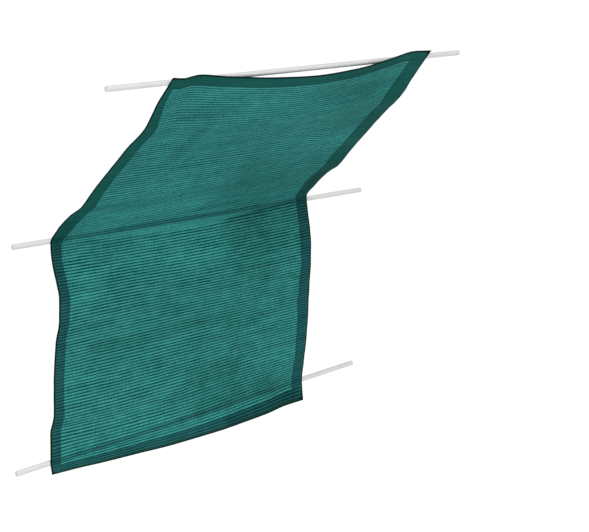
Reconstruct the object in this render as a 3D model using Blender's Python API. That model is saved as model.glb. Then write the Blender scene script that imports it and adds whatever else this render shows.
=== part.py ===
"""Green shade cloth hung on three rods: a sloping upper half and an upright lower half.

Metres, +Z up. The origin is the centre of the top rod's left end face and +X runs along that rod.
The cloth lies on the front (-Y) side of the rods. Its front face is worked out from a section table,
and the thickness is added behind it, twice as thick in the folded hem.
"""
import math

import bmesh
import bpy
from mathutils import Matrix, Vector

MM = 0.001

# Cloth
CLOTH_WIDTH = 1.800
CLOTH_LEFT = 0.366
SHEET = 0.0015
HEM = 2 * SHEET
HEM_LEDGE = 0.004
TOP_HEM = 0.060
BOTTOM_HEM = 0.052

# Columns: distance down the cloth, width of the left hem, width of the right hem; mm
SIDE_HEM_WIDTHS = (
    (0, 36, 128), (60, 36, 128), (240, 57, 128), (420, 80, 128), (830, 84, 128), (930, 107, 124),
    (1000, 104, 116), (1080, 92, 98), (1135, 64, 85), (1200, 62, 85), (2200, 62, 85),
)

# The left edge stands out this far at its top, and no more at its reach.
LEFT_FLARE = 0.012
LEFT_FLARE_REACH = 0.40

# Rods
ROD_RADIUS = 0.0125
ROD_SIDES = 32
SEAT_GAP = 0.0004
SEAT = HEM + SEAT_GAP + ROD_RADIUS

# The cloth crosses the top rod at this slope, this far below its own top edge.
TOP_SLOPE = math.radians(52.3)
TOP_OVERHANG = 0.041
SEAT_BACK = -SEAT * math.sin(TOP_SLOPE) / MM
SEAT_DOWN = SEAT * math.cos(TOP_SLOPE) / MM
EDGE_BACK = SEAT_BACK - TOP_OVERHANG * math.cos(TOP_SLOPE) / MM
EDGE_DOWN = SEAT_DOWN - TOP_OVERHANG * math.sin(TOP_SLOPE) / MM

# The rows of the section where the cloth lies against a rod.
TOP_ROD_ROW = 1
BEND_ROW = 10
BOTTOM_ROD_ROW = 19

# The cloth's front face at its left and right edges, in mm behind and below the top rod's axis.
# Columns: place, left back, left down, right back, right down
SECTION = (
    ("top edge", EDGE_BACK, EDGE_DOWN, EDGE_BACK, EDGE_DOWN),
    ("over the top rod", SEAT_BACK, SEAT_DOWN, SEAT_BACK, SEAT_DOWN),
    ("under the top hem", 51.5, 87, 49, 89),
    ("first belly", 137, 210, 130, 203),
    ("below first belly", 235, 296, 231, 295),
    ("middle of the slope", 344, 404, 336, 400),
    ("second belly", 452, 514, 441, 508),
    ("below second belly", 525, 594, 516, 590),
    ("foot of the slope", 598, 642, 591, 640),
    ("shoulder", 677, 715, 669, 712),
    ("bend on the middle rod", 720.8, 782, 720, 775),
    ("below the bend", 713, 857, 709, 851),
    ("above wall belly", 680, 967, 691, 954),
    ("wall belly", 666, 1030, 684, 1023),
    ("below wall belly", 668, 1122, 684, 1113),
    ("middle of the wall", 691, 1241, 690, 1233),
    ("low on the wall", 705, 1409, 696, 1401),
    ("above the bottom rod", 707, 1573, 708, 1561),
    ("coming back to the rod", 730.5, 1671, 720, 1655),
    ("on the bottom rod", 729.5, 1805, 729.5, 1753),
    ("bottom edge", 720, 1858, 718, 1856),
)

# Columns: distance across the cloth, how far the top edge hangs below its straight line there (mm)
TOP_EDGE_SAG = (
    (0, 0), (75, 7), (150, -2), (347, 18), (680, 45), (960, 55),
    (1253, 42), (1521, 8), (1655, -11), (1800, -6),
)
TOP_SAG_REACH = 0.60
RISE_ON_SLOPE = 1.5

# The same for the bottom edge.
BOTTOM_EDGE_SAG = (
    (0, 0), (144, 4), (340, 14), (575, 22), (820, 31),
    (1112, 32), (1377, 23), (1520, 16), (1654, 2), (1800, 0),
)
BOTTOM_SAG_REACH = 0.30

# Soft creases: straight lines on the flat cloth, in mm from its left and top edges.
# Columns: crease, from across, from down, to across, to down, half width, height to the front
CREASES = (
    ("upper packing fold", 60, 288, 1740, 338, 42, 6),
    ("short fold by the left", 455, 395, 445, 590, 34, 9),
    ("middle packing fold", 150, 596, 1350, 560, 46, -7),
    ("hollow by the right end", 1150, 800, 1560, 770, 110, -13),
    ("fold into the hollow", 960, 915, 1500, 850, 42, 7),
    ("long fold to the bend", 110, 860, 1060, 985, 44, 6),
    ("drop under the top right corner", 1180, 150, 1690, 275, 80, -12),
    ("fold under the bend", 1430, 1190, 1462, 1350, 36, -10),
    ("fold by the left hem", 185, 1190, 132, 1375, 40, -6),
    ("wall packing fold, left", 90, 1385, 640, 1393, 44, 7),
    ("wall packing fold, right", 640, 1393, 1740, 1452, 44, 7),
    ("middle wall fold", 240, 1668, 1740, 1660, 44, -7),
    ("short wall fold", 1140, 1668, 1172, 1790, 36, 6),
    ("lower wall fold", 90, 1948, 1730, 1946, 40, 6),
    ("dent over the bottom rod", 930, 1945, 1220, 1985, 48, -9),
)

# Columns: rod, left end across, length, rise of the right end, (back, down) at the left end; mm
RODS = (
    ("top_rod", 0, 2448, 0, 0, 0),
    ("middle_rod", 152, 2479, -23, 719.5 + SEAT / MM, 770),
    ("bottom_rod", 170, 2434, 75.5, 729.5 + SEAT / MM, 1814.3),
)

# A crease starts to show this far from a rod, down the cloth, and is whole this much further on.
CREASE_FREE_OF_ROD = 0.021
CREASE_RISE = 0.070

# Mesh
INNER_COLUMNS = 22
HEM_COLUMNS = 3
HEM_ROWS = 3
ROW_STEP = 0.048
SLOPE_STEP = 0.002

# Finishes
CLOTH_GREEN = "2E857C"
CLOTH_ROUGHNESS = 0.75
ROD_GREY = "DCDCDC"
ROD_ROUGHNESS = 0.4


def remove_all_objects():
    for item in list(bpy.data.objects):
        bpy.data.objects.remove(item, do_unlink=True)


def linear_colour(hex_text):
    channels = [int(hex_text[i:i + 2], 16) / 255 for i in (0, 2, 4)]
    linear = [c / 12.92 if c <= 0.04045 else ((c + 0.055) / 1.055) ** 2.4 for c in channels]
    return (*linear, 1.0)


def make_material(name, hex_text, roughness):
    material = bpy.data.materials.new(name)
    material.use_nodes = True
    shader = material.node_tree.nodes["Principled BSDF"]
    shader.inputs["Base Color"].default_value = linear_colour(hex_text)
    shader.inputs["Roughness"].default_value = roughness
    return material


def add_object(name, mesh, material):
    item = bpy.data.objects.new(name, mesh)
    item.data.materials.append(material)
    bpy.context.scene.collection.objects.link(item)
    return item


def smooth_through(places, values, place):
    """A curve through the values that has no peak or dip between them."""
    last = len(places) - 1
    place = min(max(place, places[0]), places[last])
    span = 0
    while span < last - 1 and place > places[span + 1]:
        span += 1

    def rate(i):
        return (values[i + 1] - values[i]) / (places[i + 1] - places[i])

    def tangent(i):
        if i == 0:
            return rate(0)
        if i == last:
            return rate(last - 1)
        before, after = rate(i - 1), rate(i)
        return 0.0 if before * after <= 0 else 2 * before * after / (before + after)

    length = places[span + 1] - places[span]
    t = (place - places[span]) / length
    start_pull = tangent(span) * length
    end_pull = tangent(span + 1) * length
    return (values[span] * (2 * t**3 - 3 * t**2 + 1) + start_pull * (t**3 - 2 * t**2 + t)
            + values[span + 1] * (3 * t**2 - 2 * t**3) + end_pull * (t**3 - t**2))


def ease(t):
    t = min(max(t, 0.0), 1.0)
    return t * t * (3 - 2 * t)


def section_runs():
    """Distance down the cloth from its top edge to each row of the section table."""
    runs = [0.0]
    for upper, lower in zip(SECTION, SECTION[1:]):
        left = math.hypot(lower[1] - upper[1], lower[2] - upper[2])
        right = math.hypot(lower[3] - upper[3], lower[4] - upper[4])
        runs.append(runs[-1] + (left + right) / 2 * MM)
    return runs


RUNS = section_runs()
CLOTH_LENGTH = RUNS[-1]
BEND_RUN = RUNS[BEND_ROW]
BOTTOM_ROD_RUN = RUNS[BOTTOM_ROD_ROW]
ROD_RUNS = (RUNS[TOP_ROD_ROW], BEND_RUN, BOTTOM_ROD_RUN)


def plain_point(across, run):
    """A point of the front face before sag and creases."""
    share = across / CLOTH_WIDTH
    left_back, left_down, right_back, right_down = [
        smooth_through(RUNS, [row[column] for row in SECTION], run) for column in (1, 2, 3, 4)]
    back = left_back + (right_back - left_back) * share
    down = left_down + (right_down - left_down) * share
    flare = LEFT_FLARE * (1 - ease(run / LEFT_FLARE_REACH)) * (1 - share)
    return Vector((CLOTH_LEFT + across - flare, back * MM, -down * MM))


def edge_sag(table, across):
    return smooth_through([row[0] * MM for row in table], [row[1] * MM for row in table], across)


def sag_shift(across, run):
    """How far a point moves because the top and bottom edges aren't straight."""
    top = edge_sag(TOP_EDGE_SAG, across) * (1 - ease(run / TOP_SAG_REACH))
    bottom = edge_sag(BOTTOM_EDGE_SAG, across) * (1 - ease((CLOTH_LENGTH - run) / BOTTOM_SAG_REACH))
    shift = Vector((0, 0, -bottom))
    if top > 0:
        return shift + Vector((0, 0, -top))
    up_the_slope = Vector((0, -math.cos(TOP_SLOPE), math.sin(TOP_SLOPE)))
    return shift - up_the_slope * top * RISE_ON_SLOPE


def crease_height(across, run):
    """How far the creases push a point to the front."""
    here = Vector((across, run))
    height = 0.0
    for _, x0, y0, x1, y1, half_width, front in CREASES:
        start = Vector((x0, y0)) * MM
        along = Vector((x1, y1)) * MM - start
        length = along.length
        distance_along = (here - start).dot(along / length)
        nearest = start + along / length * min(max(distance_along, 0.0), length)
        height += front * MM * math.exp(-((here - nearest).length / (half_width * MM)) ** 2)
    nearest_rod = min(abs(run - rod_run) for rod_run in ROD_RUNS)
    return height * ease((nearest_rod - CREASE_FREE_OF_ROD) / CREASE_RISE)


def front_face_point(across, run):
    above = plain_point(across, max(run - SLOPE_STEP, 0))
    below = plain_point(across, min(run + SLOPE_STEP, CLOTH_LENGTH))
    to_front = (below - above).cross(Vector((1, 0, 0))).normalized()
    point = plain_point(across, run) + sag_shift(across, run)
    return point + to_front * crease_height(across, run)


def side_hems(run):
    """Widths of the left and right hems this far down the cloth."""
    places = [row[0] * MM for row in SIDE_HEM_WIDTHS]
    sides = [[row[column] * MM for row in SIDE_HEM_WIDTHS] for column in (1, 2)]
    return [smooth_through(places, widths, run) for widths in sides]


def column_places(run):
    """Distances across the cloth of the mesh columns: both hems and even steps between them."""
    left_hem, right_hem = side_hems(run)
    thin_start = left_hem + HEM_LEDGE
    thin_end = CLOTH_WIDTH - right_hem - HEM_LEDGE
    step = (thin_end - thin_start) / INNER_COLUMNS
    left = [0, left_hem / 2, left_hem]
    inner = [thin_start + step * i for i in range(INNER_COLUMNS + 1)]
    right = [CLOTH_WIDTH - right_hem, CLOTH_WIDTH - right_hem / 2, CLOTH_WIDTH]
    return left + inner + right


def row_places():
    """Distances down the cloth of the mesh rows."""
    thin_end = CLOTH_LENGTH - BOTTOM_HEM - HEM_LEDGE
    above_bend, below_bend = BEND_RUN - ROD_RADIUS, BEND_RUN + ROD_RADIUS
    fixed = (TOP_HEM + HEM_LEDGE, above_bend, BEND_RUN, below_bend, BOTTOM_ROD_RUN, thin_end)
    rows = [0, TOP_OVERHANG, TOP_HEM, fixed[0]]
    for start, end in zip(fixed, fixed[1:]):
        steps = max(1, round((end - start) / ROW_STEP))
        rows += [start + (end - start) * (i + 1) / steps for i in range(steps)]
    return rows + [CLOTH_LENGTH - BOTTOM_HEM, CLOTH_LENGTH - BOTTOM_HEM / 2, CLOTH_LENGTH]


def make_cloth(material):
    rows = row_places()
    last_row = len(rows) - 1
    last_column = len(column_places(0)) - 1
    grid = bmesh.new()
    bmesh.ops.create_grid(grid, x_segments=last_column, y_segments=last_row, size=0.5)
    hem_layer = grid.verts.layers.deform.verify()
    for vert in grid.verts:
        column = round((vert.co.x + 0.5) * last_column)
        row = last_row - round((vert.co.y + 0.5) * last_row)
        in_side_hem = min(column, last_column - column) < HEM_COLUMNS
        in_end_hem = min(row, last_row - row) < HEM_ROWS
        vert[hem_layer][0] = 1.0 if in_side_hem or in_end_hem else 0.0
        vert.co = front_face_point(column_places(rows[row])[column], rows[row])
    mesh = bpy.data.meshes.new("cloth")
    grid.to_mesh(mesh)
    grid.free()
    mesh.shade_smooth()
    cloth = add_object("cloth", mesh, material)
    cloth.vertex_groups.new(name="hem")
    thickness = cloth.modifiers.new("thickness", "SOLIDIFY")
    thickness.thickness = HEM
    thickness.offset = -1.0
    thickness.use_even_offset = True
    thickness.vertex_group = "hem"
    thickness.thickness_vertex_group = SHEET / HEM
    return cloth


def make_rod(name, left, length, rise, back, down, material):
    """A plain round rod whose left end face is centred on its place."""
    shape = bmesh.new()
    bmesh.ops.create_cone(shape, cap_ends=True, segments=ROD_SIDES, radius1=ROD_RADIUS,
                          radius2=ROD_RADIUS, depth=length * MM)
    bmesh.ops.translate(shape, verts=shape.verts, vec=(0, 0, length * MM / 2))
    bmesh.ops.rotate(shape, verts=shape.verts, matrix=Matrix.Rotation(math.radians(90), 3, "Y"))
    mesh = bpy.data.meshes.new(name)
    shape.to_mesh(mesh)
    shape.free()
    mesh.shade_smooth()
    mesh.set_sharp_from_angle(angle=math.radians(40))
    rod = add_object(name, mesh, material)
    rod.location = Vector((left, back, -down)) * MM
    rod.rotation_euler = (0, -math.asin(rise / length), 0)
    return rod


remove_all_objects()
make_cloth(make_material("knitted shade cloth", CLOTH_GREEN, CLOTH_ROUGHNESS))
for rod_row in RODS:
    make_rod(*rod_row, make_material(rod_row[0] + " paint", ROD_GREY, ROD_ROUGHNESS))
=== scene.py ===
# %% [markdown]
# A green shade cloth on three rods. The cloth is a length of knitted plastic netting with a folded
# hem. Its upper half slopes out towards the viewer like an awning, and its lower half hangs upright.
# The solids are loaded first as a fixed frame, and every finished surface below lies on them.

# %% Load the frame
import math
from functools import lru_cache

import bmesh
import bpy
from mathutils import Matrix, Vector, noise


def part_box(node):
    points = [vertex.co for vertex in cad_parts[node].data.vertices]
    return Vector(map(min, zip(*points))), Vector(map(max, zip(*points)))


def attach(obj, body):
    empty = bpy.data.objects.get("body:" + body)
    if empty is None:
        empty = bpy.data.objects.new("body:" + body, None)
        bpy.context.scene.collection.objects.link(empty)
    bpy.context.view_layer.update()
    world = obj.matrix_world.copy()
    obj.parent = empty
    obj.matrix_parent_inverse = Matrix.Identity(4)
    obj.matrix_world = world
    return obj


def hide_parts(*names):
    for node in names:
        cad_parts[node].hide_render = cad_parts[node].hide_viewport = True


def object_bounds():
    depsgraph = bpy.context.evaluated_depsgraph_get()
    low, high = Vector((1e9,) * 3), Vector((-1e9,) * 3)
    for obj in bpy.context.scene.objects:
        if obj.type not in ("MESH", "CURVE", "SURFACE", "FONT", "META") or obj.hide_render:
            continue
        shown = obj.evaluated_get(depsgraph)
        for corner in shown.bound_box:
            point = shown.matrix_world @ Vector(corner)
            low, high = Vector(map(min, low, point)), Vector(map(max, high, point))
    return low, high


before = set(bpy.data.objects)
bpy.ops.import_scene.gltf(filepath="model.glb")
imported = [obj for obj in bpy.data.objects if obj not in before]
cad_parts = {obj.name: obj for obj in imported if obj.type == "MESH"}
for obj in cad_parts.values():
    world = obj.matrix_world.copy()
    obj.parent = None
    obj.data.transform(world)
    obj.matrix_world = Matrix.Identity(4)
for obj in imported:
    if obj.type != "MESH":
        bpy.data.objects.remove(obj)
cad_low, cad_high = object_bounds()
print("solids", [round(high - low, 3) for low, high in zip(cad_low, cad_high)])

MM = 0.001

# %% [markdown]
# Colours are written as the hex values a paint chart would give, and one function turns them to the
# linear values that the renderer works in. One more function adds a node with its settings and its
# links, so that each material further down reads as a list of what it is made of. Inputs that share
# a name are given by number: a Map Range reads from 1 to 2 and gives 3 to 4, and as its 0 grows a
# Mix goes from 6 to 7 for colours and from 4 to 5 for vectors. Two more helpers turn a bmesh into a
# mesh and put an object in the scene.

# %% Helpers for colours, nodes and objects
def linear(hex_text):
    """The linear colour of an sRGB hex value."""
    channels = [int(hex_text[i:i + 2], 16) / 255 for i in (0, 2, 4)]
    return (*[c / 12.92 if c <= 0.04045 else ((c + 0.055) / 1.055) ** 2.4 for c in channels], 1.0)


def add_node(tree, kind, inputs=None, output=None, **settings):
    """Adds a node, sets or links its inputs, and gives back the output asked for, or the first."""
    node = tree.nodes.new("ShaderNode" + kind)
    for name, value in settings.items():
        setattr(node, name, value)
    for key, value in (inputs or {}).items():
        if isinstance(value, bpy.types.NodeSocket):
            tree.links.new(value, node.inputs[key])
        else:
            node.inputs[key].default_value = value
    return node.outputs[output] if output else next(socket for socket in node.outputs if socket.enabled)


def new_material(name):
    """An empty material, its node tree and the inputs of its Principled shader."""
    material = bpy.data.materials.new(name)
    material.use_nodes = True
    return material, material.node_tree, material.node_tree.nodes["Principled BSDF"].inputs


def to_mesh(shape, name):
    """A mesh made from a bmesh, which is then freed."""
    mesh = bpy.data.meshes.new(name)
    shape.to_mesh(mesh)
    shape.free()
    return mesh


def add_object(name, data):
    """An object at the origin that shows the mesh, camera or lamp given."""
    added = bpy.data.objects.new(name, data)
    bpy.context.scene.collection.objects.link(added)
    return added


print("teal in linear light", [round(c, 3) for c in linear("2E857C")[:3]])

# %% [markdown]
# The camera stands out in front of the cloth's left end, a little higher than the top rod, and looks
# slantwise across it. It is some 9 m away behind a long lens, so that the rods' lines hardly draw
# together. Its place and turn come from the corners of the cloth and the lines of the rods in the
# picture. It is leant one degree, as the picture is.

# %% Camera
CAMERA_PLACE = Vector((-5.7523, -5.7761, 0.9034))
CAMERA_TURN = math.radians(50.316)
CAMERA_DOWN = math.radians(11.282)
CAMERA_LEAN = math.radians(0.965)
LENS_MM = 123.14
SENSOR_MM = 36
FARTHEST = 300

camera = add_object("camera", bpy.data.cameras.new("camera"))
camera.data.lens = LENS_MM
camera.data.sensor_width = SENSOR_MM
camera.data.clip_end = FARTHEST
turn = Matrix.Rotation(-CAMERA_TURN, 4, "Z")
look_down = Matrix.Rotation(math.pi / 2 - CAMERA_DOWN, 4, "X")
lean = Matrix.Rotation(CAMERA_LEAN, 4, "Z")
camera.matrix_world = Matrix.Translation(CAMERA_PLACE) @ turn @ look_down @ lean
bpy.context.scene.camera = camera
print("camera", [round(v, 2) for v in camera.matrix_world.translation])

# %% [markdown]
# The cloth is 1.8 m wide along the rods, as it comes off the roll, and 2.2 m long. All four edges are
# folded back once and sewn. These sizes are the same as in the solids, so that the finished sheet
# lies exactly where its solid does.

# %% Sizes of the cloth and rods
CLOTH_WIDTH = 1.800
CLOTH_LEFT = 0.366
SHEET = 0.0015
HEM = 2 * SHEET
HEM_LEDGE = 0.004
TOP_HEM = 0.060
BOTTOM_HEM = 0.052
# The left edge stands out this far at its top, and less and less down to its reach.
LEFT_FLARE = 0.012
LEFT_FLARE_REACH = 0.40
ROD_RADIUS = 0.0125
SEAT_GAP = 0.0004
SEAT = HEM + SEAT_GAP + ROD_RADIUS
TOP_SLOPE = math.radians(52.3)
TOP_OVERHANG = 0.041
SEAT_BACK = -SEAT * math.sin(TOP_SLOPE) / MM
SEAT_DOWN = SEAT * math.cos(TOP_SLOPE) / MM
EDGE_BACK = SEAT_BACK - TOP_OVERHANG * math.cos(TOP_SLOPE) / MM
EDGE_DOWN = SEAT_DOWN - TOP_OVERHANG * math.sin(TOP_SLOPE) / MM
print("hem", HEM / MM, "mm thick on", ROD_RADIUS * 2 / MM, "mm rods")

# %% [markdown]
# The shape is written down the way a fitter would measure it: at each place down the two side edges,
# how far the cloth is behind and below the top rod's axis. A smooth curve runs through those places,
# so the bellies of slack between the rods, the shoulder over the middle rod and the straight hang
# below it all come from one table. The top and bottom edges also sag between their corners.

# %% Section and edges of the cloth
# Columns: place, left back, left down, right back, right down (mm from the top rod's axis)
SECTION = (
    ("top edge", EDGE_BACK, EDGE_DOWN, EDGE_BACK, EDGE_DOWN),
    ("over the top rod", SEAT_BACK, SEAT_DOWN, SEAT_BACK, SEAT_DOWN),
    ("under the top hem", 51.5, 87, 49, 89),
    ("first belly", 137, 210, 130, 203),
    ("below first belly", 235, 296, 231, 295),
    ("middle of the slope", 344, 404, 336, 400),
    ("second belly", 452, 514, 441, 508),
    ("below second belly", 525, 594, 516, 590),
    ("foot of the slope", 598, 642, 591, 640),
    ("shoulder", 677, 715, 669, 712),
    ("bend on the middle rod", 720.8, 782, 720, 775),
    ("below the bend", 713, 857, 709, 851),
    ("above wall belly", 680, 967, 691, 954),
    ("wall belly", 666, 1030, 684, 1023),
    ("below wall belly", 668, 1122, 684, 1113),
    ("middle of the wall", 691, 1241, 690, 1233),
    ("low on the wall", 705, 1409, 696, 1401),
    ("above the bottom rod", 707, 1573, 708, 1561),
    ("coming back to the rod", 730.5, 1671, 720, 1655),
    ("on the bottom rod", 729.5, 1805, 729.5, 1753),
    ("bottom edge", 720, 1858, 718, 1856),
)

# Columns: distance across the cloth, how far the edge hangs below its straight line there (mm)
TOP_EDGE_SAG = (
    (0, 0), (75, 7), (150, -2), (347, 18), (680, 45), (960, 55),
    (1253, 42), (1521, 8), (1655, -11), (1800, -6),
)
BOTTOM_EDGE_SAG = (
    (0, 0), (144, 4), (340, 14), (575, 22), (820, 31),
    (1112, 32), (1377, 23), (1520, 16), (1654, 2), (1800, 0),
)
TOP_SAG_REACH = 0.60
BOTTOM_SAG_REACH = 0.30
RISE_ON_SLOPE = 1.5
print("section rows", len(SECTION))


# %% A smooth curve through measured places
def curve_through(places, values):
    """A smooth curve through the values that has no peak or dip between them."""
    rates = [(b - a) / (q - p) for a, b, p, q in zip(values, values[1:], places, places[1:])]
    inner = [0.0 if a * b <= 0 else 2 * a * b / (a + b) for a, b in zip(rates, rates[1:])]
    pulls = [rates[0], *inner, rates[-1]]

    def value_at(place):
        place = min(max(place, places[0]), places[-1])
        span = 0
        while span < len(places) - 2 and place > places[span + 1]:
            span += 1
        length = places[span + 1] - places[span]
        t = (place - places[span]) / length
        start_pull, end_pull = pulls[span] * length, pulls[span + 1] * length
        return (values[span] * (2 * t**3 - 3 * t**2 + 1) + start_pull * (t**3 - 2 * t**2 + t)
                + values[span + 1] * (3 * t**2 - 2 * t**3) + end_pull * (t**3 - t**2))

    return value_at


def column_of(table, number, unit=MM):
    """One column of a table, turned to metres unless it has another unit."""
    return [row[number] * unit for row in table]


def table_curve(table, number=1, first_unit=MM):
    """The smooth curve of one of a table's columns over its first."""
    return curve_through(column_of(table, 0, first_unit), column_of(table, number))


def ease(t):
    """A soft step from 0 to 1, with no slope at either end."""
    t = min(max(t, 0.0), 1.0)
    return t * t * (3 - 2 * t)


top_sag, bottom_sag = table_curve(TOP_EDGE_SAG), table_curve(BOTTOM_EDGE_SAG)
print("the top edge sags", round(top_sag(CLOTH_WIDTH / 2) / MM), "mm at its middle")


# %% Distances down the cloth
def section_runs():
    """Distance down the cloth from its top edge to each row of the section table."""
    runs = [0.0]
    for upper, lower in zip(SECTION, SECTION[1:]):
        left = math.hypot(lower[1] - upper[1], lower[2] - upper[2])
        right = math.hypot(lower[3] - upper[3], lower[4] - upper[4])
        runs.append(runs[-1] + (left + right) / 2 * MM)
    return runs


RUNS = section_runs()
CLOTH_LENGTH = RUNS[-1]
TOP_ROD_ROW, BEND_ROW, BOTTOM_ROD_ROW = 1, 10, 19
BEND_RUN = RUNS[BEND_ROW]
ROD_RUNS = (RUNS[TOP_ROD_ROW], BEND_RUN, RUNS[BOTTOM_ROD_ROW])
section_curves = [curve_through(RUNS, column_of(SECTION, number)) for number in (1, 2, 3, 4)]


def to_nearest_rod(run):
    """Distance along the cloth to the nearest place where a rod lies behind it."""
    return min(abs(run - rod_run) for rod_run in ROD_RUNS)


print("cloth", CLOTH_WIDTH, "by", round(CLOTH_LENGTH, 3), "m")

# %% [markdown]
# A cloth that was folded in a packet keeps its creases, and slack cloth pulls into short soft folds
# where it is held. They could come from a cloth simulation, but a simulated sheet falls where it
# likes, so the ones that show are placed on the flat cloth, each a straight line with a
# soft round cross-section. Fine wrinkles from a smooth noise lie over them. All of them die out
# near a rod, where the cloth lies against it.

# %% Creases and wrinkles
# Columns: crease, from across, from down, to across, to down, half width, height to the front (mm)
CREASES = (
    ("upper packing fold", 60, 288, 1740, 338, 42, 6),
    ("short fold by the left", 455, 395, 445, 590, 34, 9),
    ("middle packing fold", 150, 596, 1350, 560, 46, -7),
    ("hollow by the right end", 1150, 800, 1560, 770, 110, -13),
    ("fold into the hollow", 960, 915, 1500, 850, 42, 7),
    ("long fold to the bend", 110, 860, 1060, 985, 44, 6),
    ("drop under the top right corner", 1180, 150, 1690, 275, 80, -12),
    ("fold under the bend", 1430, 1190, 1462, 1350, 36, -10),
    ("fold by the left hem", 185, 1190, 132, 1375, 40, -6),
    ("wall packing fold, left", 90, 1385, 640, 1393, 44, 7),
    ("wall packing fold, right", 640, 1393, 1740, 1452, 44, 7),
    ("middle wall fold", 240, 1668, 1740, 1660, 44, -7),
    ("short wall fold", 1140, 1668, 1172, 1790, 36, 6),
    ("lower wall fold", 90, 1948, 1730, 1946, 40, 6),
    ("dent over the bottom rod", 930, 1945, 1220, 1985, 48, -9),
)
CREASE_FREE_OF_ROD = 0.021
CREASE_RISE = 0.070
WRINKLE_HEIGHT = 0.0012
WRINKLE_LENGTH = 0.26
WRINKLE_WIDTH = 0.07
WRINKLE_NOISE_SLICE = 0.5
# A stroke has faded out this many half widths away from its line.
STROKE_REACH = 3


def soft_strokes(table):
    """The table's rows as start, direction, length and half width in metres, and amount."""
    strokes = []
    for _, x0, y0, x1, y1, half_width, amount in table:
        start, line = Vector((x0, y0)) * MM, Vector((x1 - x0, y1 - y0)) * MM
        strokes.append((start, line.normalized(), line.length, half_width * MM, amount))
    return strokes


def strokes_at(strokes, across, run):
    """The sum of the strokes' amounts, each fading softly away from its line."""
    total = 0.0
    for start, direction, length, half_width, amount in strokes:
        offset = Vector((across, run)) - start
        offset -= direction * min(max(offset.dot(direction), 0.0), length)
        if offset.length < STROKE_REACH * half_width:
            total += amount * math.exp(-(offset.length / half_width) ** 2)
    return total


creases = soft_strokes(CREASES)


def crease_height(across, run):
    """How far the creases and wrinkles push a point to the front."""
    place = (across / WRINKLE_LENGTH, run / WRINKLE_WIDTH, WRINKLE_NOISE_SLICE)
    height = WRINKLE_HEIGHT * noise.noise(place) + strokes_at(creases, across, run) * MM
    return height * ease((to_nearest_rod(run) - CREASE_FREE_OF_ROD) / CREASE_RISE)


print("creases", len(creases))

# %% [markdown]
# Now any spot on the flat cloth, given as its distances across and down, can be laid on the hung
# shape. The answer is a point and the direction that faces the viewer's side there.

# %% From the flat cloth to the hung one
SLOPE_STEP = 0.002


@lru_cache(maxsize=None)
def section_at(run):
    """Left and right front points, as (back, up), and the directions to the front there."""
    places = (max(run - SLOPE_STEP, 0), run, min(run + SLOPE_STEP, CLOTH_LENGTH))
    above, here, below = [[curve(place) for curve in section_curves] for place in places]
    ends = []
    for back, down in ((0, 1), (2, 3)):
        slope = Vector((below[back] - above[back], above[down] - below[down])).normalized()
        ends.append((Vector((here[back], -here[down])), Vector((slope.y, -slope.x))))
    return ends


@lru_cache(maxsize=None)
def edge_sags(across):
    """How far the top and the bottom edge hang below their straight lines."""
    return top_sag(across), bottom_sag(across)


def cloth_point(across, run, raised=0.0):
    """A point on the cloth's front face, raised to the front, and the direction to the front."""
    share = across / CLOTH_WIDTH
    (left, left_front), (right, right_front) = section_at(run)
    place, to_front = left.lerp(right, share), left_front.lerp(right_front, share).normalized()
    top, bottom = edge_sags(across)
    top *= 1 - ease(run / TOP_SAG_REACH)
    bottom *= 1 - ease((CLOTH_LENGTH - run) / BOTTOM_SAG_REACH)
    if top > 0:
        place.y -= top
    else:
        place += Vector((math.cos(TOP_SLOPE), -math.sin(TOP_SLOPE))) * top * RISE_ON_SLOPE
    place.y -= bottom
    place += to_front * (crease_height(across, run) + raised)
    flare = LEFT_FLARE * (1 - ease(run / LEFT_FLARE_REACH)) * (1 - share)
    point = Vector((CLOTH_LEFT + across - flare, place.x, place.y))
    return point, Vector((0, to_front.x, to_front.y))


print("middle of the bend", [round(v, 4) for v in cloth_point(CLOTH_WIDTH / 2, BEND_RUN)[0]])

# %% [markdown]
# The knit makes ribs along the rods: rounded bands of plastic tape with a narrow line of loops
# between them. On the real cloth they are some 5 mm apart, but the picture draws them 14.5 mm apart,
# so they are built that coarse. Slack knitting stretches unevenly, so the ribs bow and crowd a
# little. A table says how far down the cloth every eleventh rib runs at five places, and a smooth
# noise adds the small wander of real knitting.

# %% Where the ribs run
PLACES_ACROSS = (0.0, 0.45, 0.90, 1.35, 1.80)
# Columns: rib, how far down it is at each of the five places across (mm)
RIB_LINES = (
    (0, 0, 0, 0, 0, 0),
    (4, 60, 60, 60, 60, 60),
    (15, 212, 213, 219, 226, 234),
    (26, 373, 377, 385, 395, 406),
    (37, 549, 555, 561, 567, 573),
    (48, 731, 736, 739, 738, 737),
    (59, 905, 909, 909, 904, 897),
    (70, 1060, 1069, 1068, 1062, 1053),
    (81, 1201, 1212, 1218, 1217, 1210),
    (92, 1353, 1358, 1370, 1374, 1370),
    (103, 1516, 1516, 1520, 1526, 1527),
    (114, 1675, 1677, 1677, 1675, 1675),
    (125, 1831, 1838, 1836, 1827, 1823),
    (136, 1993, 2001, 2000, 1987, 1980),
    (147, *[(CLOTH_LENGTH - BOTTOM_HEM) / MM] * 5),
    (151, *[CLOTH_LENGTH / MM] * 5),
)
TOP_HEM_RIB, BOTTOM_HEM_RIB, RIBS = RIB_LINES[1][0], RIB_LINES[-2][0], RIB_LINES[-1][0]
RIB_PITCH = CLOTH_LENGTH / RIBS
RIB_WANDER = 0.0016
WANDER_ACROSS = 0.12
WANDER_DOWN = 0.05
WANDER_NOISE_SLICE = 4.0
STRAIGHT_EDGE = 0.03

rib_curves = [table_curve(RIB_LINES, number, first_unit=1) for number in range(1, len(PLACES_ACROSS) + 1)]


@lru_cache(maxsize=None)
def rib_line(rib):
    """The curve that a rib follows across the cloth."""
    return curve_through(PLACES_ACROSS, [curve(rib) for curve in rib_curves])


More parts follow.
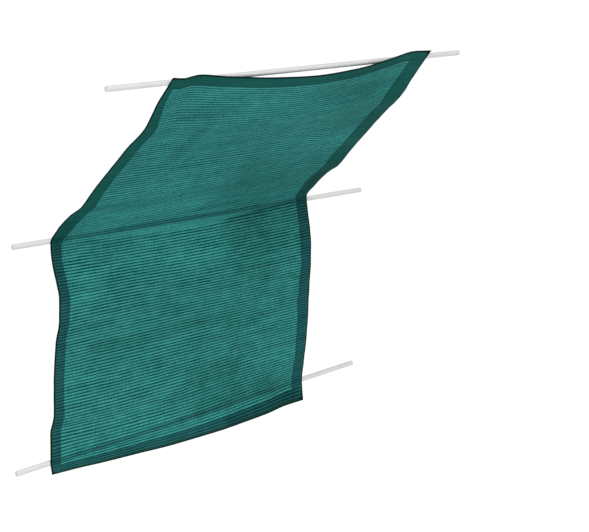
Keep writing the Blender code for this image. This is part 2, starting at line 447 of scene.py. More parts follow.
def rib_run(across, rib):
    """How far down the cloth a rib is. It wanders a little, but not along the two edges."""
    run = rib_line(rib)(across)
    place = (across / WANDER_ACROSS, run / WANDER_DOWN, WANDER_NOISE_SLICE)
    return run + RIB_WANDER * noise.noise(place) * ease(min(run, CLOTH_LENGTH - run) / STRAIGHT_EDGE)


print("ribs", RIBS, "about", round(RIB_PITCH / MM, 2), "mm apart")

# %% [markdown]
# The hem is the same cloth folded back once, so it is twice as thick. It is wider at the right side
# than at the left, wider on the slope than on the upright half, and narrow at the top left. A row of
# stitching near its inner edge draws the cloth in to a shallow valley, and between the stitches the
# fold puckers.

# %% Hem, seam and edge
# Columns: distance down the cloth, width of the left hem, width of the right hem (mm)
SIDE_HEM_WIDTHS = (
    (0, 36, 128), (60, 36, 128), (240, 57, 128), (420, 80, 128), (830, 84, 128), (930, 107, 124),
    (1000, 104, 116), (1080, 92, 98), (1135, 64, 85), (1200, 62, 85), (2200, 62, 85),
)
HEM_PUCKER = 0.0009
HEM_PUCKER_LENGTH = 0.045
PUCKER_NOISE_SLICE = 9.0
PUCKER_FREE_OF_ROD = 0.020
PUCKER_RISE = 0.050
STITCH_FROM_LEDGE = 0.006
SEAM_HALF_WIDTH = 0.004
FOLD_COLUMN = 0.003
INNER_COLUMNS = 44

hem_curves = [table_curve(SIDE_HEM_WIDTHS, number) for number in (1, 2)]


@lru_cache(maxsize=None)
def side_hems(run):
    """Widths of the left and right hems this far down the cloth."""
    return [width_at(run) for width_at in hem_curves]


@lru_cache(maxsize=None)
def column_places(run):
    """Distances across the cloth of the mesh columns, and how many of them are in each side hem."""
    left, right = [[0, FOLD_COLUMN, hem / 2, hem - 2 * STITCH_FROM_LEDGE, hem - STITCH_FROM_LEDGE, hem]
                   for hem in side_hems(run)]
    thin_start, thin_end = left[-1] + HEM_LEDGE, CLOTH_WIDTH - right[-1] - HEM_LEDGE
    step = (thin_end - thin_start) / INNER_COLUMNS
    inner = [thin_start + step * i for i in range(INNER_COLUMNS + 1)]
    return left + inner + [CLOTH_WIDTH - place for place in reversed(right)], len(left)


def edge_distance(across, run):
    """Distance to the nearest edge of the cloth."""
    return min(across, CLOTH_WIDTH - across, run, CLOTH_LENGTH - run)


def seam_share(across, run):
    """1 on the line of stitching, falling to 0 a few millimetres away."""
    left_hem, right_hem = side_hems(run)
    past_seams = (across - left_hem + STITCH_FROM_LEDGE,
                  CLOTH_WIDTH - right_hem + STITCH_FROM_LEDGE - across,
                  run - TOP_HEM + STITCH_FROM_LEDGE,
                  CLOTH_LENGTH - BOTTOM_HEM + STITCH_FROM_LEDGE - run)
    return math.exp(-(min(abs(distance) for distance in past_seams) / SEAM_HALF_WIDTH) ** 2)


def pucker(across, run):
    """How far the folded hem lifts to the front between its stitches."""
    place = (across / HEM_PUCKER_LENGTH, run / HEM_PUCKER_LENGTH, PUCKER_NOISE_SLICE)
    return HEM_PUCKER * noise.noise(place) * ease((to_nearest_rod(run) - PUCKER_FREE_OF_ROD) / PUCKER_RISE)


print("columns in a side hem", column_places(0.0)[1], "of", len(column_places(0.0)[0]))

# %% [markdown]
# Where a rod lies right behind the cloth it blocks the light that comes through, so its shadow is
# painted into the colour as a darker band with firm edges, a few millimetres up because it is seen
# from a little above. The painted shadow belongs to a place on the cloth, so it is worked out here
# for each point, from the rod's own line, and kept with the mesh.

# %% The rods' painted shadows on the cloth
# The rod's painted shadow: how far up it is drawn, its half height, its soft edge and the extra dark along
# its sides.
BAND_RAISED = 0.0035
BAND_HALF_WIDTH = 0.85 * ROD_RADIUS
BAND_SOFTNESS = 0.35 * ROD_RADIUS
BAND_EDGE = 0.25
# Which way each rod's right end goes: -1 down, 0 level, 1 up
ROD_RISES = {"top_rod": 0, "middle_rod": -1, "bottom_rod": 1}


def rod_span(node):
    """The middle of a rod, and how far it reaches along and climbs from left to right."""
    low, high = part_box(node)
    return (low + high) / 2, high.x - low.x, ROD_RISES[node] * (high.z - low.z - 2 * ROD_RADIUS)


rod_lines = []
for node in ("middle_rod", "bottom_rod"):
    middle, reach, climb = rod_span(node)
    rod_lines.append((middle, Vector((reach, 0, climb)).normalized()))


def painted_rod_shadow(point):
    """Share of a rod's painted shadow: 1 where the rod lies behind the cloth, more along its sides, 0 away.
    """
    offsets = [point - middle - line * (point - middle).dot(line) for middle, line in rod_lines]
    height = min(abs(offset.z - BAND_RAISED) for offset in offsets)
    inside = 1 - ease((height - BAND_HALF_WIDTH) / BAND_SOFTNESS + 0.5)
    return inside + BAND_EDGE * math.exp(-((height - BAND_HALF_WIDTH) / BAND_SOFTNESS) ** 2)


print("band", round(2 * BAND_HALF_WIDTH / MM, 1), "mm high over", len(rod_lines), "rods")

# %% [markdown]
# Broad soft areas of shade and light are painted into the cloth's colour: painted shade along the
# folds, in the hems near the bend and towards its right end, and painted light where the cloth faces
# the light. Just under the middle rod the cloth is drawn tight across most of its width, which
# flattens the ribs there, and the upright half starts below that.

# %% Painted shade and light, and the tight cloth under the bend
# Columns: area, from across, from down, to across, to down, half width (mm), change of tone (%),
# below 0 for painted shade and above 0 for painted light
PAINTED_SHADE_AND_LIGHT = (
    ("right end of the slope", 1060, 890, 1720, 890, 160, -17),
    ("right side of the slope", 1320, 110, 1590, 430, 190, -18),
    ("under the right end of the bend", 1380, 1150, 1470, 1300, 80, -14),
    ("across the top of the slope", 300, 120, 860, 140, 90, 12),
    ("beside the short fold", 400, 330, 385, 560, 40, -24),
    ("below the upper packing fold", 180, 222, 560, 222, 36, -12),
    ("painted light on the slope", 1380, 600, 1640, 590, 70, 14),
    ("from the slope's middle to the bend", 1010, 560, 1130, 860, 70, -10),
    ("painted light above the bend", 190, 985, 900, 1005, 66, 25),
    ("painted light above the long fold", 240, 790, 620, 800, 60, 12),
    ("painted light below the bend", 160, 1210, 1060, 1230, 110, 38),
    ("painted light above the wall's belly", 200, 1340, 900, 1330, 60, 16),
    ("above the long fold to the bend", 120, 862, 400, 872, 34, -12),
    ("across the wall under the bend", 120, 1318, 620, 1322, 34, -12),
    ("above the middle wall fold", 260, 1648, 1180, 1640, 36, -16),
    ("into the dent over the bottom rod", 920, 1900, 1260, 1915, 52, -20),
    ("above the bottom hem", 1040, 2045, 1580, 2070, 60, -20),
    ("right end of the bottom hem", 1500, 2040, 1560, 2100, 50, -14),
    ("painted light low on the wall", 150, 2000, 650, 1990, 90, 8),
    ("left hem above the bend", 44, 950, 40, 1070, 40, -16),
    ("left hem under the bend", 26, 1110, 26, 1350, 34, -30),
    ("right hem above the bend", 1745, 900, 1750, 1060, 50, -32),
    ("right half of the bottom hem", 1230, 2174, 1730, 2174, 32, -34),
    ("fold line under the bend", 1180, 1150, 1690, 1123, 6, -32),
)

# Columns: distance across the cloth, how far below the bend the upright half starts there (mm)
TIGHT_UNDER_BEND = (
    (0, 12), (160, 12), (350, 21), (620, 40), (830, 47), (980, 52), (1200, 38), (1340, 26), (1480, 16),
    (1800, 12),
)
TIGHT_FLATTENS = 0.65

painted_shade_and_light = soft_strokes(PAINTED_SHADE_AND_LIGHT)
wall_start = table_curve(TIGHT_UNDER_BEND)
print("areas of painted shade and light", len(painted_shade_and_light))

# %% [markdown]
# The sheet starts as a flat grid, one of bmesh's own shapes, and its points are then laid on the hung
# shape, four rows of them to a rib. Each point also keeps what the material needs to know about its
# place. Solidify then gives the sheet its thickness behind the front face, with the double hem
# from a group of points, and a small bevel rounds the folded edge.

# %% Rows of points
# Columns: place in the rib, height there as a share of the rib's depth
RIB_SHAPE = ((0.0, -0.5), (0.22, 0.2), (0.5, 0.5), (0.78, 0.2))
RIB_DEPTH = 0.0011


def row_places():
    """Rib count and height in the rib's relief of each mesh row, from the top edge down."""
    rows = [(rib + place, height * RIB_DEPTH) for rib in range(RIBS) for place, height in RIB_SHAPE]
    return rows + [(RIBS, RIB_SHAPE[0][1] * RIB_DEPTH)]


print("rows of points", len(row_places()))

# %% The sheet of cloth
# The hem is pressed flat, so only this share of the ribs' relief is left there.
HEM_RELIEF = 0.25
STITCH_DIP = 0.0003
WALL_STARTS_OVER = 0.018


def make_sheet():
    """The cloth's front face, laid on the hung shape, with the values its material needs."""
    rows = row_places()
    last_row, last_column = len(rows) - 1, len(column_places(0.0)[0]) - 1
    grid = bmesh.new()
    bmesh.ops.create_grid(grid, x_segments=last_column, y_segments=last_row, size=0.5)
    hem_group = grid.verts.layers.deform.verify()
    names = ("hem", "seam", "edge_mm", "painted_rod_shadow", "on_wall", "tight", "tone")
    layers = [grid.verts.layers.float.new(name) for name in names]
    uv_layer = grid.loops.layers.uv.new("cloth")
    flat = {}
    for vert in grid.verts:
        column = round((vert.co.x + 0.5) * last_column)
        rib, height = rows[last_row - round((vert.co.y + 0.5) * last_row)]
        places, side_columns = column_places(rib_line(rib)(CLOTH_WIDTH / 2))
        across = places[column]
        run = rib_run(across, rib)
        in_side = min(column, last_column - column) < side_columns
        in_hem = 1.0 if in_side or rib <= TOP_HEM_RIB or rib >= BOTTOM_HEM_RIB else 0.0
        seam = seam_share(across, run)
        on_wall = ease((run - BEND_RUN - wall_start(across)) / WALL_STARTS_OVER + 0.5)
        tight = ease((run - BEND_RUN) / WALL_STARTS_OVER) * (1 - on_wall)
        relief = height * (HEM_RELIEF if in_hem else 1 - TIGHT_FLATTENS * tight)
        vert.co = cloth_point(across, run, relief - seam * STITCH_DIP + in_hem * pucker(across, run))[0]
        vert[hem_group][0] = in_hem
        # The painted shade and light of the table, kept on the mesh as its tone.
        tone = 1 + strokes_at(painted_shade_and_light, across, run) / 100
        edge_mm = edge_distance(across, run) / MM
        values = (in_hem, seam, edge_mm, painted_rod_shadow(vert.co), on_wall, tight, tone)
        for layer, value in zip(layers, values):
            vert[layer] = value
        flat[vert] = (across, rib * RIB_PITCH)
    for face in grid.faces:
        for loop in face.loops:
            loop[uv_layer].uv = flat[loop.vert]
    mesh = to_mesh(grid, "shade_cloth")
    mesh.shade_smooth()
    return mesh


shade_cloth = add_object("shade_cloth", make_sheet())
print("sheet", len(shade_cloth.data.vertices), "points")

# %% Thickness and the rounded fold
FOLD_ROUND = 0.0007
FOLD_ANGLE = math.radians(60)

shade_cloth.vertex_groups.new(name="hem")
thickness = shade_cloth.modifiers.new("thickness", "SOLIDIFY")
thickness.thickness = HEM
thickness.offset = -1.0
thickness.use_even_offset = True
thickness.vertex_group = "hem"
thickness.thickness_vertex_group = SHEET / HEM
fold_round = shade_cloth.modifiers.new("rounded fold", "BEVEL")
fold_round.width = FOLD_ROUND
fold_round.segments = 2
fold_round.limit_method = "ANGLE"
fold_round.angle_limit = FOLD_ANGLE
print("thickness", SHEET / MM, "mm, hem", HEM / MM, "mm")

# %% [markdown]
# Shade cloth is knitted from flat polyethylene tape and thread, dyed right through. The tape is dull
# and lies every way, so the cloth is matt and its gloss is turned down almost to nothing. Each rib
# is full of slanting flecks of tape that catch the light, and each groove is a row of small dark
# loops. The pattern reads the flat cloth's own coordinates in metres, so it bends with the folds.
# The flecks and loops are drawn as coarse as the ribs, about three times the real size.

# %% The knit: flecks of tape and dark loops
TAPE_LIGHT = "4A9A92"
TAPE_DARK = "08605B"
LOOP_DARK = "022E2D"
FLECK_PITCH = 0.0085
FLECK_SLANT = 0.9
LOOP_PITCH = 0.0040
LOOP_SHIFT = 0.37
LOOP_GAP = 0.85
# Where a groove starts and where it is full, in shares of a rib from the rib's crown
GROOVE_STARTS = 0.13
GROOVE_FULL = 0.40
# Noises that bend the ribs and jostle the flecks: size across and down (mm), and how much they do
BEND_SIZE = (70, 30)
RIB_BEND = 0.10
JOSTLE_SIZE = (22, 10)
JOSTLE = 2.4


def noise_scale(across_mm, down_mm):
    """The scale on the flat cloth of a noise whose lumps have this size."""
    return 1 / (across_mm * MM), 1 / (down_mm * MM), 0


cloth_material, tree, cloth_shader = new_material("knitted polyethylene shade cloth")
uv = add_node(tree, "UVMap", uv_map="cloth")
across_m = add_node(tree, "SeparateXYZ", {0: uv}, "X")
down_m = add_node(tree, "SeparateXYZ", {0: uv}, "Y")

# The ribs bend a little, as knitting does.
bend = add_node(tree, "VectorMath", {0: uv, 1: noise_scale(*BEND_SIZE)}, operation="MULTIPLY")
bend = add_node(tree, "TexNoise", {"Vector": bend, "Scale": 1.0, "Detail": 1.0}, noise_dimensions="2D")
bend = add_node(tree, "MapRange", {0: bend, 3: -RIB_BEND, 4: RIB_BEND})
rib_place = add_node(tree, "Math", {0: down_m, 1: RIB_PITCH}, operation="DIVIDE")
rib_number = add_node(tree, "Math", {0: rib_place}, operation="FLOOR")
in_rib = add_node(tree, "Math", {0: rib_place}, operation="FRACT")
in_rib = add_node(tree, "Math", {0: in_rib, 1: 0.5}, operation="SUBTRACT")
from_crown = add_node(tree, "Math", {0: in_rib}, operation="ABSOLUTE")
from_crown = add_node(tree, "Math", {0: from_crown, 1: bend}, operation="ADD")

# Flecks slant one way in one rib and the other way in the next, and a noise jostles them.
side = add_node(tree, "Math", {0: rib_number, 1: 2.0}, operation="FLOORED_MODULO")
side = add_node(tree, "MapRange", {0: side, 3: -FLECK_SLANT, 4: FLECK_SLANT})
slant = add_node(tree, "Math", {0: in_rib, 1: side}, operation="MULTIPLY")
lumps = add_node(tree, "VectorMath", {0: uv, 1: noise_scale(*JOSTLE_SIZE)}, operation="MULTIPLY")
lumps = add_node(tree, "TexNoise", {"Vector": lumps, "Scale": 1.0, "Detail": 2.0}, noise_dimensions="2D")
fleck = add_node(tree, "Math", {0: across_m, 1: 1 / FLECK_PITCH, 2: slant}, operation="MULTIPLY_ADD")
fleck = add_node(tree, "Math", {0: lumps, 1: JOSTLE, 2: fleck}, operation="MULTIPLY_ADD")
fleck = add_node(tree, "Math", {0: fleck, 1: math.tau}, operation="MULTIPLY")
fleck = add_node(tree, "Math", {0: fleck}, operation="SINE")
flecks = add_node(tree, "MapRange", {0: fleck, 1: -0.9, 2: 1.0}, interpolation_type="SMOOTHSTEP")

# Loops make each groove a dotted line.
loop = add_node(tree, "Math", {0: rib_number, 1: LOOP_SHIFT}, operation="MULTIPLY")
loop = add_node(tree, "Math", {0: across_m, 1: 1 / LOOP_PITCH, 2: loop}, operation="MULTIPLY_ADD")
loop = add_node(tree, "Math", {0: loop, 1: math.tau}, operation="MULTIPLY")
loop = add_node(tree, "Math", {0: loop}, operation="SINE")
loop = add_node(tree, "MapRange", {0: loop, 1: -1.0, 2: 1.0, 3: LOOP_GAP, 4: 1.0})
groove = add_node(tree, "MapRange", {0: from_crown, 1: GROOVE_STARTS, 2: GROOVE_FULL},
                  interpolation_type="SMOOTHSTEP")
groove = add_node(tree, "Math", {0: groove, 1: loop}, operation="MULTIPLY")
print("rib pitch", round(RIB_PITCH / MM, 1), "fleck", FLECK_PITCH / MM, "loop", LOOP_PITCH / MM, "mm")

# %% [markdown]
# Where the knit is stretched its grooves open and look shallower, more on the slope than on the
# upright half and most of all where it is drawn tight under the middle rod. A slow noise does the
# same in patches all over, because no knitting is stretched evenly.

# %% Grooves that open where the knit is stretched
STRETCH_SIZE = (300, 80)
STRETCHED_GROOVE = 0.82
SLOPE_GROOVE = 0.86

stretch = add_node(tree, "VectorMath", {0: uv, 1: noise_scale(*STRETCH_SIZE)}, operation="MULTIPLY")
stretch = add_node(tree, "TexNoise", {"Vector": stretch, "Scale": 1.0, "Detail": 2.0}, noise_dimensions="2D")
stretch = add_node(tree, "MapRange", {0: stretch, 1: 0.35, 2: 0.65, 3: STRETCHED_GROOVE, 4: 1.0})
groove = add_node(tree, "Math", {0: groove, 1: stretch}, operation="MULTIPLY")
on_wall = add_node(tree, "Attribute", output="Fac", attribute_name="on_wall")
openness = add_node(tree, "MapRange", {0: on_wall, 3: SLOPE_GROOVE, 4: 1.0})
groove = add_node(tree, "Math", {0: groove, 1: openness}, operation="MULTIPLY")
tight = add_node(tree, "Attribute", output="Fac", attribute_name="tight")
tight = add_node(tree, "MapRange", {0: tight, 3: 1.0, 4: 1 - TIGHT_FLATTENS})
groove = add_node(tree, "Math", {0: groove, 1: tight}, operation="MULTIPLY")
print("grooves on the slope", SLOPE_GROOVE, "of their depth, under the rod", round(1 - TIGHT_FLATTENS, 2))

# %% [markdown]
# The hem is double, so it is denser and less light comes through it. Its colour is darker than the
# single cloth's, partly its own and partly painted shade, a little differently near its outer fold.
# On the slope, which is seen against the light coming through the cloth, the hem's painted shade is
# darker still and its grooves are fainter. The hem is a value kept on the mesh's points, because it
# belongs to a place on the cloth.

# %% Colours of the single cloth and of the hem
HEM_ON_WALL = "205656"
HEM_FOLD_ON_WALL = "27534D"
# The hem on the slope, darker as painted shade for the light that comes through around it.
HEM_SHADED_ON_SLOPE = "164F48"
HEM_LOOPS = "062A2B"
# The hem's grooves on the slope are faded as part of its painted shade.
HEM_GROOVE_ON_SLOPE = 0.25
# The outer fold's own colour ends over this stretch in from the edge (mm).
FOLD_ENDS = (10.0, 32.0)

tape = add_node(tree, "Mix", {0: flecks, 6: linear(TAPE_DARK), 7: linear(TAPE_LIGHT)}, data_type="RGBA")
knit = add_node(tree, "Mix", {0: groove, 6: tape, 7: linear(LOOP_DARK)}, data_type="RGBA")

edge_mm = add_node(tree, "Attribute", output="Fac", attribute_name="edge_mm")
from_fold = add_node(tree, "MapRange", {0: edge_mm, 1: FOLD_ENDS[0], 2: FOLD_ENDS[1]})
hem_tape = add_node(tree, "Mix", {0: from_fold, 6: linear(HEM_FOLD_ON_WALL), 7: linear(HEM_ON_WALL)},
                    data_type="RGBA")
hem_tape = add_node(tree, "Mix", {0: on_wall, 6: linear(HEM_SHADED_ON_SLOPE), 7: hem_tape}, data_type="RGBA")
hem_groove = add_node(tree, "MapRange", {0: on_wall, 3: HEM_GROOVE_ON_SLOPE, 4: 1.0})
hem_groove = add_node(tree, "Math", {0: groove, 1: hem_groove}, operation="MULTIPLY")
hem_knit = add_node(tree, "Mix", {0: hem_groove, 6: hem_tape, 7: linear(HEM_LOOPS)}, data_type="RGBA")
hem = add_node(tree, "Attribute", output="Fac", attribute_name="hem")
colour = add_node(tree, "Mix", {0: hem, 6: knit, 7: hem_knit}, data_type="RGBA")
print("cloth and hem", TAPE_LIGHT, TAPE_DARK, HEM_ON_WALL, HEM_SHADED_ON_SLOPE)

# %% [markdown]
# Then comes the tone, which starts from the painted shade and light kept on the mesh. Knitting is
# uneven from rib to rib, handling leaves paler and darker patches, and the take-down rollers of the
# knitting machine leave faint stripes down the cloth. The row of stitching is a darker line, partly
# the knit pressed together and partly painted shade in its valley. The light that comes through the
# slope is painted in as a brighter, bluer cast, and the wall has its own painted light. Where a rod
# lies behind, its shadow is painted as a grey band, and the folded rim is darkest, as painted shade.

# %% Tone, painted light, the rods' painted shadows and the rim's painted shade
# The stitching's darker line: partly the knit pressed together, partly painted shade in its valley.
SEAM_SHADE = 0.85
# Grey of a rod's painted shadow seen through the cloth, and how much of it is mixed in.
ROD_SHADOW_GREY = "102B35"
ROD_SHADOW_MIX = 0.42
# Painted shade along the folded rim of the cloth.
PAINTED_RIM_SHADE = "03201B"
# The rim's painted shade ends over this stretch in from the edge (mm).
RIM_ENDS = (6.5, 9.5)
# Painted light: the cast of the light on each half, as red, green, blue
PAINTED_LIGHT_ON_SLOPE = (1.10, 1.13, 1.18)
PAINTED_LIGHT_ON_WALL = (1.09, 1.14, 1.16)
# Columns: size across, size down (mm), strength
PATCHES = ((420, 15, 0.20), (520, 70, 0.14), (260, 200, 0.10), (60, 3000, 0.08))

tone = add_node(tree, "Attribute", output="Fac", attribute_name="tone")
for size_across, size_down, strength in PATCHES:
    patches = add_node(tree, "VectorMath", {0: uv, 1: noise_scale(size_across, size_down)},
                       operation="MULTIPLY")
    patches = add_node(tree, "TexNoise", {"Vector": patches, "Scale": 1.0, "Detail": 2.0},
                       noise_dimensions="2D")
    patches = add_node(tree, "MapRange", {0: patches, 3: 1 - strength, 4: 1 + strength})
    tone = add_node(tree, "Math", {0: tone, 1: patches}, operation="MULTIPLY")
# The seam's line darkens the colour, partly as painted shade.
seam = add_node(tree, "Attribute", output="Fac", attribute_name="seam")
seam = add_node(tree, "MapRange", {0: seam, 3: 1.0, 4: SEAM_SHADE})
tone = add_node(tree, "Math", {0: tone, 1: seam}, operation="MULTIPLY")
colour = add_node(tree, "VectorMath", {0: colour, "Scale": tone}, operation="SCALE")
# Each half's painted light multiplies the colour.
painted_cast = add_node(tree, "Mix", {0: on_wall, 4: PAINTED_LIGHT_ON_SLOPE, 5: PAINTED_LIGHT_ON_WALL}, data_type="VECTOR")
colour = add_node(tree, "VectorMath", {0: colour, 1: painted_cast}, operation="MULTIPLY")
# The rods' painted shadows are mixed into the colour.
behind = add_node(tree, "Attribute", output="Fac", attribute_name="painted_rod_shadow")
band = add_node(tree, "Math", {0: behind, 1: ROD_SHADOW_MIX}, operation="MULTIPLY")
colour = add_node(tree, "Mix", {0: band, 6: colour, 7: linear(ROD_SHADOW_GREY)}, data_type="RGBA")
# The rim's painted shade darkens the colour near the edge.
rim_shade = add_node(tree, "MapRange", {0: edge_mm, 1: RIM_ENDS[0], 2: RIM_ENDS[1], 3: 1.0, 4: 0.0})
colour = add_node(tree, "Mix", {0: rim_shade, 6: colour, 7: linear(PAINTED_RIM_SHADE)}, data_type="RGBA")
tree.links.new(colour, cloth_shader["Base Color"])
print("patches of tone", len(PATCHES))

# %% Surface of the knit
FLECK_HEIGHT = 0.5
GROOVE_BUMP = 0.0008
TAPE_ROUGHNESS = 0.55
GAP_ROUGHNESS = 0.75

roughness = add_node(tree, "MapRange", {0: flecks, 3: GAP_ROUGHNESS, 4: TAPE_ROUGHNESS})
tree.links.new(roughness, cloth_shader["Roughness"])
height = add_node(tree, "Math", {0: flecks, 1: FLECK_HEIGHT}, operation="MULTIPLY")
height = add_node(tree, "Math", {0: height, 1: groove}, operation="SUBTRACT")
bump = add_node(tree, "Bump", {"Strength": 0.4, "Distance": GROOVE_BUMP, "Height": height})
tree.links.new(bump, cloth_shader["Normal"])
cloth_shader["IOR"].default_value = 1.5
cloth_shader["Specular IOR Level"].default_value = 0.01
shade_cloth.data.materials.append(cloth_material)

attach(shade_cloth, "root")
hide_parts("cloth")
print("cloth material nodes", len(tree.nodes))

# %% [markdown]
# The hem is sewn down with one row of lockstitch in green thread, a few millimetres in from the
# folded-in edge, and it shows on both faces. One stitch is modelled, a short rod with drawn-in ends,
# and its mesh is laid again and again along each row. A few faces each are enough for something a
# millimetre thick. Real stitches are about 4 mm long; these are 6 mm, so that they show.

# %% Hem stitching
STITCH_PITCH = 0.0075
STITCH_LENGTH = 0.0058
THREAD_RADIUS = 0.00055
THREAD_SIDES = 5
# Each end tapers over this share of the stitch's length, to this share of the thread's width.
TIP_LENGTH = 0.15
TIP_WIDTH = 0.35

stitch = bmesh.new()
bmesh.ops.create_cone(stitch, cap_ends=True, segments=THREAD_SIDES, radius1=THREAD_RADIUS,
                      radius2=THREAD_RADIUS, depth=STITCH_LENGTH * (1 - 2 * TIP_LENGTH))
for cap in [face for face in stitch.faces if len(face.verts) == THREAD_SIDES]:
    tip = cap.normal.copy()
    pulled = bmesh.ops.extrude_discrete_faces(stitch, faces=[cap])["faces"][0]
    centre = pulled.calc_center_median()
    for vert in pulled.verts:
        vert.co = centre + (vert.co - centre) * TIP_WIDTH + tip * STITCH_LENGTH * TIP_LENGTH
bmesh.ops.recalc_face_normals(stitch, faces=stitch.faces)
stitch_mesh = to_mesh(stitch, "one_stitch")
print("one stitch", len(stitch_mesh.polygons), "faces")

# %% Where the stitches lie
THREAD_STANDS_OFF = 0.6 * THREAD_RADIUS
STITCHES_CLEAR_OF_ROD = 0.030


def stitch_rows():
    """The four rows, as lists of (across, run) at the stitches' middles."""
    first, last = TOP_HEM - STITCH_FROM_LEDGE, CLOTH_LENGTH - BOTTOM_HEM + STITCH_FROM_LEDGE
    runs = [first + STITCH_PITCH * (i + 0.5) for i in range(int((last - first) / STITCH_PITCH))]
    rows = [[(side_hems(run)[0] - STITCH_FROM_LEDGE, run) for run in runs],
            [(CLOTH_WIDTH - side_hems(run)[1] + STITCH_FROM_LEDGE, run) for run in runs]]
    for run in (first, last):
        left, right = [hem - STITCH_FROM_LEDGE for hem in side_hems(run)]
        count = int((CLOTH_WIDTH - left - right) / STITCH_PITCH)
        rows.append([(left + STITCH_PITCH * (i + 0.5), run) for i in range(count)])
    return rows


def stitch_places(row):
    """Matrices that lay a stitch on the front and one on the back, but none against a rod."""
    goes_down = row[0][1] != row[-1][1]
    step = (0, MM) if goes_down else (MM, 0)
    sunk = -STITCH_DIP - HEM_RELIEF * RIB_DEPTH / 2
    for across, run in row:
        point, out = cloth_point(across, run, sunk)
        along = (cloth_point(across + step[0], run + step[1], sunk)[0] - point).normalized()
        out = (out - along * out.dot(along)).normalized()
        turn = Matrix((out.cross(along), out, along)).transposed().to_4x4()
        yield Matrix.Translation(point + out * THREAD_STANDS_OFF) @ turn
        if to_nearest_rod(run) > STITCHES_CLEAR_OF_ROD:
            behind = point - out * (HEM + THREAD_STANDS_OFF) + along * STITCH_PITCH / 2
            yield Matrix.Translation(behind) @ turn


print("rows of stitches", [len(row) for row in stitch_rows()])

# %% The rows of stitches
STITCHES_IN_A_RUN = 60

stitching_shape = bmesh.new()
for row in stitch_rows():
    places = list(stitch_places(row))
    for first in range(0, len(places), STITCHES_IN_A_RUN):
        run_of_stitches = bmesh.new()
        for place in places[first:first + STITCHES_IN_A_RUN]:
            before = len(run_of_stitches.verts)
            run_of_stitches.from_mesh(stitch_mesh)
            run_of_stitches.verts.ensure_lookup_table()
            bmesh.ops.transform(run_of_stitches, matrix=place, verts=run_of_stitches.verts[before:])
        joined = to_mesh(run_of_stitches, "joined")
        stitching_shape.from_mesh(joined)
        bpy.data.meshes.remove(joined)
stitching_mesh = to_mesh(stitching_shape, "hem_stitching")
bpy.data.meshes.remove(stitch_mesh)
stitching_mesh.shade_smooth()
hem_stitching = add_object("hem_stitching", stitching_mesh)
print("stitching triangles", sum(len(face.vertices) - 2 for face in stitching_mesh.polygons))

# %% [markdown]
# Sewing thread is spun from many fine polyester fibres, so it has a soft, slightly hairy surface
# with darker and lighter streaks and no clear gloss.

# %% The thread's material
THREAD_DARK = "0C3D3A"
THREAD_LIGHT = "1F5F59"
FIBRE_SIZE = 0.9 * MM

thread_material, tree, thread_shader = new_material("spun polyester sewing thread")
place = add_node(tree, "TexCoord", output="Object")
fibre = add_node(tree, "TexNoise", {"Vector": place, "Scale": 1 / FIBRE_SIZE, "Detail": 2.0})
thread = add_node(tree, "Mix", {0: fibre, 6: linear(THREAD_DARK), 7: linear(THREAD_LIGHT)}, data_type="RGBA")
tree.links.new(thread, thread_shader["Base Color"])
twist = add_node(tree, "Bump", {"Strength": 0.4, "Distance": 0.0002, "Height": fibre})
tree.links.new(twist, thread_shader["Normal"])
thread_shader["Roughness"].default_value = 0.7
thread_shader["Specular IOR Level"].default_value = 0.15
hem_stitching.data.materials.append(thread_material)

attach(hem_stitching, "root")
print("thread radius", THREAD_RADIUS / MM, "mm")

# %% [markdown]
# The rods are 25 mm steel tube with a pale grey painted finish and plain closed ends. The solid bars
# stand in for them, so each is made again here with more sides and a broken edge at each end: a
# cylinder is laid along the rod's line and the rims of its two ends are bevelled.

# %% The rods
ROD_SIDES = 72
EDGE_BREAK = 0.0012
EDGE_STEPS = 3
SHARP_ANGLE = math.radians(40)


def make_rod(node):
    """The painted rod that stands for a CAD rod, laid along the same line."""
    middle, reach, climb = rod_span(node)
    tilt = math.atan2(climb, reach)
    length = reach / math.cos(tilt) - 2 * ROD_RADIUS * abs(math.tan(tilt))
    shape = bmesh.new()
    bmesh.ops.create_cone(shape, cap_ends=True, segments=ROD_SIDES, radius1=ROD_RADIUS,
                          radius2=ROD_RADIUS, depth=length)
    rims = [edge for edge in shape.edges if any(len(face.verts) == ROD_SIDES for face in edge.link_faces)]
    bmesh.ops.bevel(shape, geom=rims, affect="EDGES", offset=EDGE_BREAK, segments=EDGE_STEPS,
                    profile=0.5, material=-1)
    along_x = Matrix.Rotation(math.pi / 2, 4, "Y")
    place = Matrix.Translation(middle) @ Matrix.Rotation(-tilt, 4, "Y") @ along_x
    bmesh.ops.transform(shape, matrix=place, verts=shape.verts)
    mesh = to_mesh(shape, "painted_" + node)
    mesh.shade_smooth()
    mesh.set_sharp_from_angle(angle=SHARP_ANGLE)
    rod = add_object("painted_" + node, mesh)
    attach(rod, "root")
    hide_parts(node)
    print(rod.name, "length", round(length, 4), "tilt", round(math.degrees(tilt), 2))
    return rod


rods = [make_rod(node) for node in ROD_RISES]

# %% [markdown]
# Powder paint is sprayed on dry and baked, which leaves a faint orange-peel ripple in a satin
# skin. Handling leaves it a little duller in places.

# %% The rods' paint
PAINT_DARK = "C1C1C2"
PAINT_LIGHT = "D0D0D1"
PEEL_SIZE = 3.0 * MM
HANDLED_SIZE = 90 * MM
CLEAN_ROUGHNESS = 0.32
DULL_ROUGHNESS = 0.48

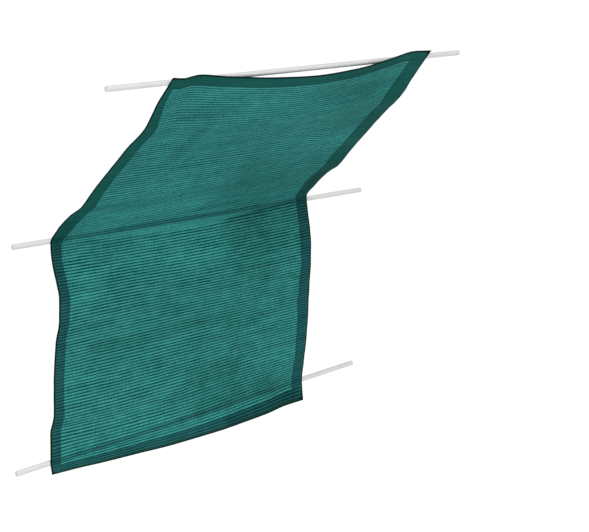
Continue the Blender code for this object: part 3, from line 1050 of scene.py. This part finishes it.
paint_material, tree, paint_shader = new_material("powder-coated steel tube")
place = add_node(tree, "TexCoord", output="Object")
peel = add_node(tree, "TexNoise", {"Vector": place, "Scale": 1 / PEEL_SIZE, "Detail": 1.0})
dulled = add_node(tree, "TexNoise", {"Vector": place, "Scale": 1 / HANDLED_SIZE, "Detail": 4.0})
grey = add_node(tree, "Mix", {0: dulled, 6: linear(PAINT_DARK), 7: linear(PAINT_LIGHT)}, data_type="RGBA")
tree.links.new(grey, paint_shader["Base Color"])
gloss = add_node(tree, "MapRange", {0: dulled, 1: 0.3, 2: 0.7, 3: CLEAN_ROUGHNESS, 4: DULL_ROUGHNESS})
tree.links.new(gloss, paint_shader["Roughness"])
ripple = add_node(tree, "Bump", {"Strength": 0.15, "Distance": 0.0001, "Height": peel})
tree.links.new(ripple, paint_shader["Normal"])
for rod in rods:
    rod.data.materials.append(paint_material)
print("painted rods", [rod.name for rod in rods])

# %% [markdown]
# The stage is one wide pale floor, well below the cloth because the rods are held up at their ends,
# and soft light: a pale sky all round, a broad sun-like lamp high in front, which brings out the
# folds, and a weaker one low on the left, which reaches the underside of the slope.

# %% Floor
FLOOR_BELOW = 1.6
FLOOR_HALF = 120.0
FLOOR_DARK = "FBFBFB"
FLOOR_LIGHT = "FDFDFD"
MOTTLE_SIZE = 2.5

shape = bmesh.new()
bmesh.ops.create_grid(shape, x_segments=1, y_segments=1, size=FLOOR_HALF)
bmesh.ops.translate(shape, verts=shape.verts, vec=(0, 0, cad_low.z - FLOOR_BELOW))
floor_mesh = to_mesh(shape, "floor")
floor = add_object("floor", floor_mesh)
floor_material, tree, floor_shader = new_material("matt white studio floor")
place = add_node(tree, "TexCoord", output="Object")
mottle = add_node(tree, "TexNoise", {"Vector": place, "Scale": 1 / MOTTLE_SIZE, "Detail": 2.0})
white = add_node(tree, "Mix", {0: mottle, 6: linear(FLOOR_DARK), 7: linear(FLOOR_LIGHT)}, data_type="RGBA")
tree.links.new(white, floor_shader["Base Color"])
floor_shader["Roughness"].default_value = 0.9
floor_shader["Specular IOR Level"].default_value = 0.1
floor_mesh.materials.append(floor_material)
print("floor at", round(floor_mesh.vertices[0].co.z, 2), "m")

# %% Light
SKY = 0.42
KEY = 2.4
KEY_SHINES = (0.25, 0.6, -1.0)
SIDE = 1.2
SIDE_SHINES = (1.0, 0.5, -0.05)
LAMP_SPREAD = 30

bpy.context.scene.view_settings.view_transform = "Standard"
world = bpy.data.worlds.new("pale studio")
world.use_nodes = True
world.node_tree.nodes["Background"].inputs["Color"].default_value = (1, 1, 1, 1)
world.node_tree.nodes["Background"].inputs["Strength"].default_value = SKY
bpy.context.scene.world = world


def broad_lamp(name, shines, strength):
    """A sun lamp with a wide disc, which lights everything alike with soft shadows."""
    lamp = add_object(name, bpy.data.lights.new(name, "SUN"))
    lamp.data.energy = strength
    lamp.data.angle = math.radians(LAMP_SPREAD)
    lamp.rotation_mode = "QUATERNION"
    lamp.rotation_quaternion = Vector(shines).to_track_quat("-Z", "Y")


broad_lamp("key lamp", KEY_SHINES, KEY)
broad_lamp("side lamp", SIDE_SHINES, SIDE)
print("sky", SKY, "key", KEY, "side", SIDE)
